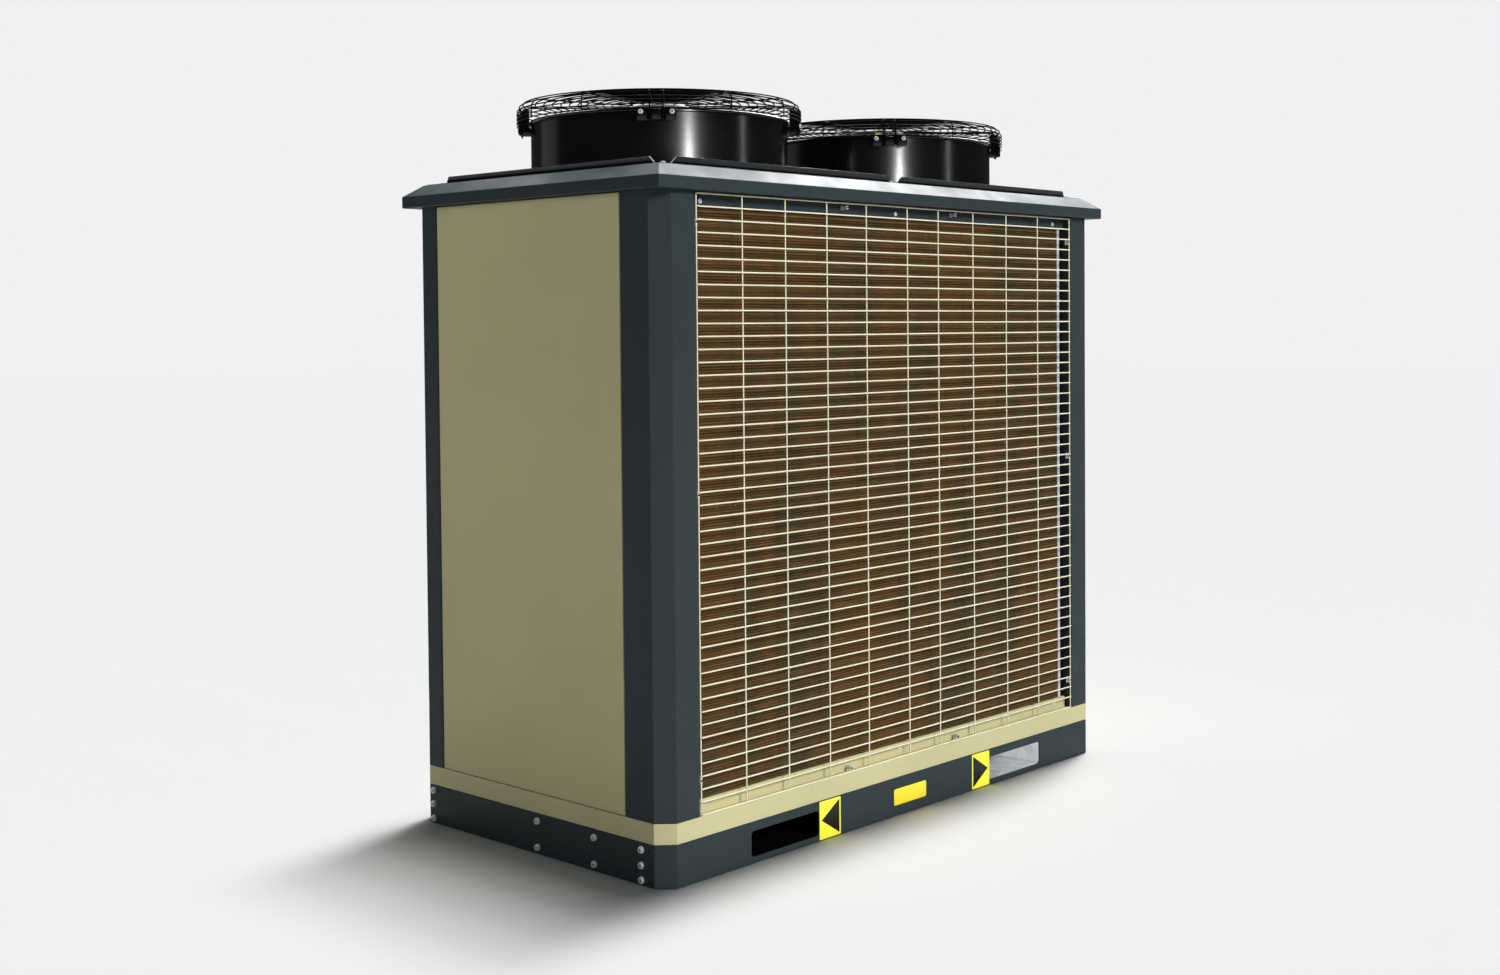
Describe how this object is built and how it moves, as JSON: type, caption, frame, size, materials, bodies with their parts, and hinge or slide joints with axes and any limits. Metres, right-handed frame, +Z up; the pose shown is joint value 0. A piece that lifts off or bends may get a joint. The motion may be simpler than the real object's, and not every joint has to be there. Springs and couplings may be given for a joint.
{
  "type": "pool heat pump",
  "caption": "Box-shaped twin-fan commercial pool heat pump: coils behind wire guards on both long sides, fans on the roof, fork pockets in the base.",
  "frame": {"origin": "on the ground, at the centre of the footprint", "axes": "+X along the line of the fans towards the service end, +Y towards the rear coil, +Z up"},
  "size_m": [2.168, 1.144, 2.214],
  "materials": {
    "dark_paint": "satin powder coat",
    "beige_paint": "satin powder coat",
    "black_paint": "gloss",
    "black_wire": "semi-gloss coated wire",
    "blade_plastic": "satin moulded",
    "motor_casting": "cast",
    "galvanised": "spangled zinc",
    "zinc": "bright zinc plate",
    "latch_plastic": "moulded",
    "coil_fin": "bronze fin coating",
    "copper": "dull copper tube",
    "cream_wire": "gloss coated wire",
    "rubber": "matte",
    "dark_plastic": "satin",
    "drier_paint": "gloss",
    "red_plastic": "gloss",
    "label_yellow": "vinyl film"
  },
  "bodies": {
    "cabinet": {"base_rail_front": "dark_paint", "base_rail_rear": "dark_paint", "base_rail_left": "dark_paint", "base_rail_right": "dark_paint", "base_beams": "dark_paint", "fork_tunnel_left": "black_paint", "fork_tunnel_right": "galvanised", "base_pan": "galvanised", "base_bolts": "zinc", "kick_band_front": "beige_paint", "kick_band_rear": "beige_paint", "kick_band_left": "beige_paint", "kick_band_right": "beige_paint", "post_front_left": "dark_paint", "post_front_right": "dark_paint", "post_rear_left": "dark_paint", "post_rear_right": "dark_paint", "end_panel": "beige_paint", "connection_panel": "beige_paint", "door_hinges": "zinc", "top_rail_front": "dark_paint", "top_rail_rear": "dark_paint", "roof_edge_front": "dark_paint", "roof_edge_rear": "dark_paint", "roof_edge_left": "dark_paint", "roof_edge_right": "dark_paint", "fan_deck_left": "black_paint", "fan_deck_right": "black_paint", "fan_shroud_left": "black_paint", "fan_shroud_right": "black_paint", "fan_guard_left": "black_wire", "fan_guard_right": "black_wire", "guard_brackets": "black_paint", "fan_motor_left": "motor_casting", "fan_motor_right": "motor_casting", "coil_front": "coil_fin", "coil_rear": "coil_fin", "coil_end_plates": "galvanised", "coil_headers": "copper", "coil_guard_front": "cream_wire", "coil_guard_rear": "cream_wire", "guard_clips": "galvanised", "cabinet_screws": "zinc", "compressor_front": "black_paint", "compressor_rear": "black_paint", "compressor_feet": "rubber", "heat_exchanger": "dark_plastic", "suction_accumulator": "black_paint", "filter_drier": "drier_paint", "reversing_valve": "copper", "refrigerant_pipes": "copper", "water_pipes": "dark_plastic", "control_box": "galvanised", "isolator_switch": "dark_plastic", "labels": "label_yellow"},
    "fan_left": {"fan_impeller_left": "blade_plastic"},
    "fan_right": {"fan_impeller_right": "blade_plastic"},
    "service_door": {"service_door": "beige_paint"},
    "door_latch": {"door_latch": "latch_plastic"},
    "isolator_handle": {"isolator_handle": "red_plastic"}
  },
  "joints": [
    {"name": "fan_left_spin", "type": "hinge", "parent": "cabinet", "child": "fan_left", "pos_m": [-0.53, 0, 2.096], "axis": [0, 0, 1], "continuous": true},
    {"name": "fan_right_spin", "type": "hinge", "parent": "cabinet", "child": "fan_right", "pos_m": [0.53, 0, 2.096], "axis": [0, 0, 1], "continuous": true},
    {"name": "service_door_hinge", "type": "hinge", "parent": "cabinet", "child": "service_door", "pos_m": [1.067, 0.432, 1.23], "axis": [0, 0, 1], "range_deg": [0, 110]},
    {"name": "door_latch_turn", "type": "hinge", "parent": "service_door", "child": "door_latch", "pos_m": [1.06, -0.342, 1.23], "axis": [1, 0, 0], "range_deg": [0, 90]},
    {"name": "isolator_turn", "type": "hinge", "parent": "cabinet", "child": "isolator_handle", "pos_m": [1.06, 0.24, 0.43], "axis": [1, 0, 0], "range_deg": [0, 90]}
  ]
}
